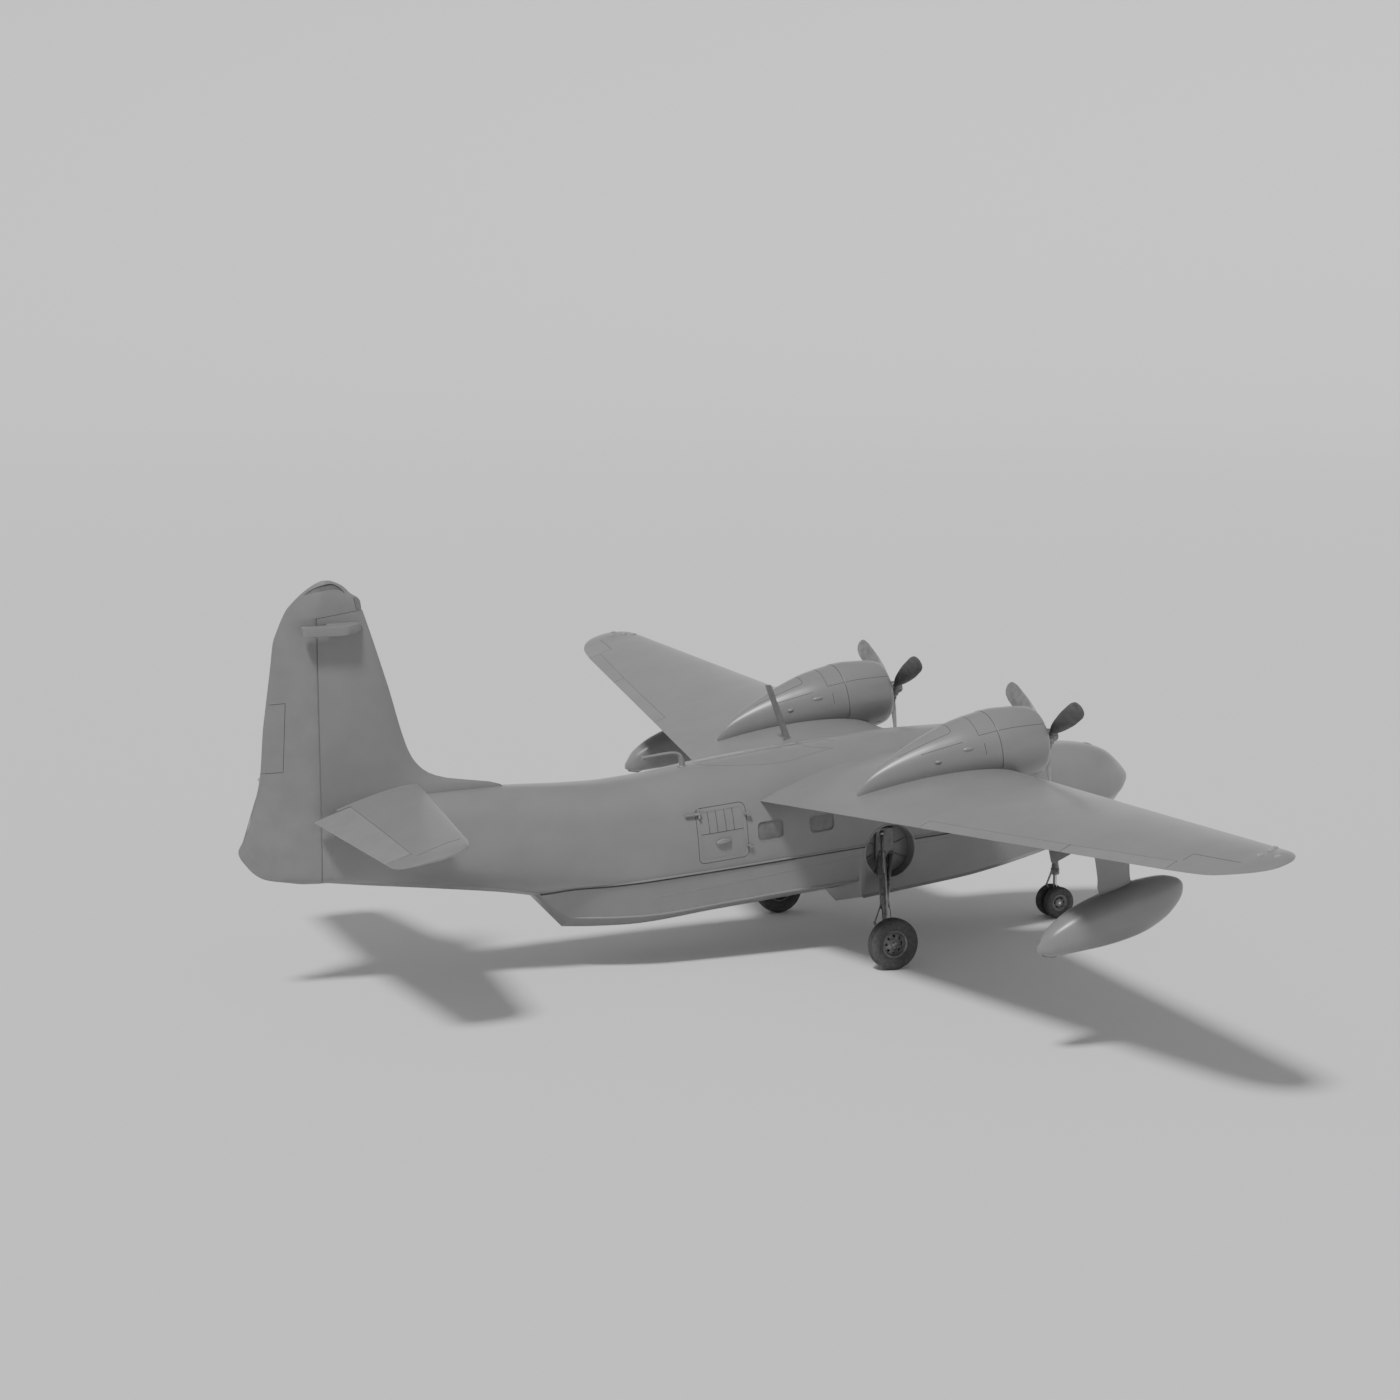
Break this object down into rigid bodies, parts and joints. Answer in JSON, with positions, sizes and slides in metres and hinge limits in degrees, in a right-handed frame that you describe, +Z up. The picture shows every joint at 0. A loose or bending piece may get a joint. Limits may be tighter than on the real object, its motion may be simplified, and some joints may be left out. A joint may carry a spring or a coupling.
{
  "type": "amphibious flying boat",
  "caption": "Twin-engined high-wing amphibious flying boat with a stepped hull, wing floats, a tall fin and a nose-wheel gear, parked on its wheels with turning propellers and hinged controls.",
  "frame": {"origin": "centre of the bounding box at ground level", "axes": "+Z up, nose towards -Y, port wing towards +X"},
  "size_m": [29.46, 19.1396, 7.87],
  "materials": {
    "airscrew_metal": "satin",
    "bare_metal": "satin",
    "cabin_trim": "matte",
    "doped_fabric": "matte",
    "engine_metal": "satin",
    "paint_grey": "satin",
    "tyre_rubber": "matte"
  },
  "bodies": {
    "airframe": {"cabin_floor": "cabin_trim", "cockpit_floor": "cabin_trim", "cowl_left": "paint_grey", "cowl_right": "paint_grey", "engine_left": "engine_metal", "engine_right": "engine_metal", "fin": "paint_grey", "fin_pad_left": "paint_grey", "fin_pad_right": "paint_grey", "float_left": "paint_grey", "float_right": "paint_grey", "float_strut_left": "paint_grey", "float_strut_right": "paint_grey", "hull_bow": "paint_grey", "hull_cabin": "paint_grey", "hull_tail": "paint_grey", "main_leg_left": "bare_metal", "main_leg_right": "bare_metal", "mast_aerial": "paint_grey", "nacelle_left": "paint_grey", "nacelle_right": "paint_grey", "nose_dome": "paint_grey", "nose_door_left": "paint_grey", "nose_door_right": "paint_grey", "nose_leg": "bare_metal", "tailplane_left": "paint_grey", "tailplane_right": "paint_grey", "vent_pipe": "paint_grey", "wing_left": "paint_grey", "wing_right": "paint_grey"},
    "rudder": {"rudder": "doped_fabric"},
    "elevator_left": {"elevator_left": "doped_fabric"},
    "elevator_right": {"elevator_right": "doped_fabric"},
    "aileron_left": {"aileron_left": "doped_fabric"},
    "aileron_right": {"aileron_right": "doped_fabric"},
    "flap_left": {"flap_left": "paint_grey"},
    "flap_right": {"flap_right": "paint_grey"},
    "propeller_left": {"propeller_left": "airscrew_metal"},
    "propeller_right": {"propeller_right": "airscrew_metal"},
    "main_wheel_left": {"main_left_rim": "bare_metal", "main_left_tyre": "tyre_rubber"},
    "main_wheel_right": {"main_right_rim": "bare_metal", "main_right_tyre": "tyre_rubber"},
    "nose_fork": {"nose_fork": "bare_metal"},
    "nose_wheels": {"nose_left_rim": "bare_metal", "nose_left_tyre": "tyre_rubber", "nose_right_rim": "bare_metal", "nose_right_tyre": "tyre_rubber"},
    "cabin_door": {"cabin_door": "paint_grey"}
  },
  "joints": [
    {"name": "flap_right_hinge", "type": "hinge", "parent": "airframe", "child": "flap_right", "pos_m": [-6.29, -1.595, 3.63746], "axis": [-0.9862, -0.1502, 0.0703], "range_deg": [0, 40]},
    {"name": "flap_left_hinge", "type": "hinge", "parent": "airframe", "child": "flap_left", "pos_m": [6.29, -1.595, 3.63746], "axis": [-0.9862, 0.1502, -0.0703], "range_deg": [0, 40]},
    {"name": "aileron_right_hinge", "type": "hinge", "parent": "airframe", "child": "aileron_right", "pos_m": [-10.285, -2.205, 3.92256], "axis": [0.9834, 0.166, -0.0734], "range_deg": [-20, 20]},
    {"name": "aileron_left_hinge", "type": "hinge", "parent": "airframe", "child": "aileron_left", "pos_m": [10.285, -2.205, 3.92256], "axis": [0.9834, -0.166, 0.0734], "range_deg": [-20, 20]},
    {"name": "elevator_right_hinge", "type": "hinge", "parent": "airframe", "child": "elevator_right", "pos_m": [-0.34, 7.525, 3.51582], "axis": [0.9993, -0.0206, 0.0307], "range_deg": [-20, 25]},
    {"name": "elevator_left_hinge", "type": "hinge", "parent": "airframe", "child": "elevator_left", "pos_m": [0.34, 7.525, 3.51582], "axis": [0.9993, 0.0206, -0.0307], "range_deg": [-20, 25]},
    {"name": "propeller_right_shaft", "type": "hinge", "parent": "airframe", "child": "propeller_right", "pos_m": [-3.35, -5.76434, 4.51254], "axis": [0, 0.9945, -0.1045], "continuous": true},
    {"name": "propeller_left_shaft", "type": "hinge", "parent": "airframe", "child": "propeller_left", "pos_m": [3.35, -5.76434, 4.51254], "axis": [0, 0.9945, -0.1045], "continuous": true},
    {"name": "main_wheel_right_axle", "type": "hinge", "parent": "airframe", "child": "main_wheel_right", "pos_m": [-2.69, -2.775, 0.51], "axis": [1, 0, 0], "continuous": true},
    {"name": "main_wheel_left_axle", "type": "hinge", "parent": "airframe", "child": "main_wheel_left", "pos_m": [2.69, -2.775, 0.51], "axis": [1, 0, 0], "continuous": true},
    {"name": "nose_steering", "type": "hinge", "parent": "airframe", "child": "nose_fork", "pos_m": [0, -7.955, 1.0497], "axis": [0, 0, 1], "range_deg": [-40, 40]},
    {"name": "nose_axle", "type": "hinge", "parent": "nose_fork", "child": "nose_wheels", "pos_m": [0, -7.955, 0.335], "axis": [1, 0, 0], "continuous": true},
    {"name": "rudder_hinge", "type": "hinge", "parent": "airframe", "child": "rudder", "pos_m": [0, 8.045, 4.63], "axis": [0, 0, 1], "range_deg": [-25, 25]},
    {"name": "cabin_door_hinge", "type": "hinge", "parent": "airframe", "child": "cabin_door", "pos_m": [-1.285, -0.31494, 2.72724], "axis": [0, 0.0872, 0.9962], "range_deg": [0, 90]}
  ],
  "couplings": [
    {"joint": "aileron_right_hinge", "follows": "aileron_left_hinge", "ratio": -1},
    {"joint": "elevator_right_hinge", "follows": "elevator_left_hinge", "ratio": 1},
    {"joint": "flap_right_hinge", "follows": "flap_left_hinge", "ratio": 1}
  ]
}
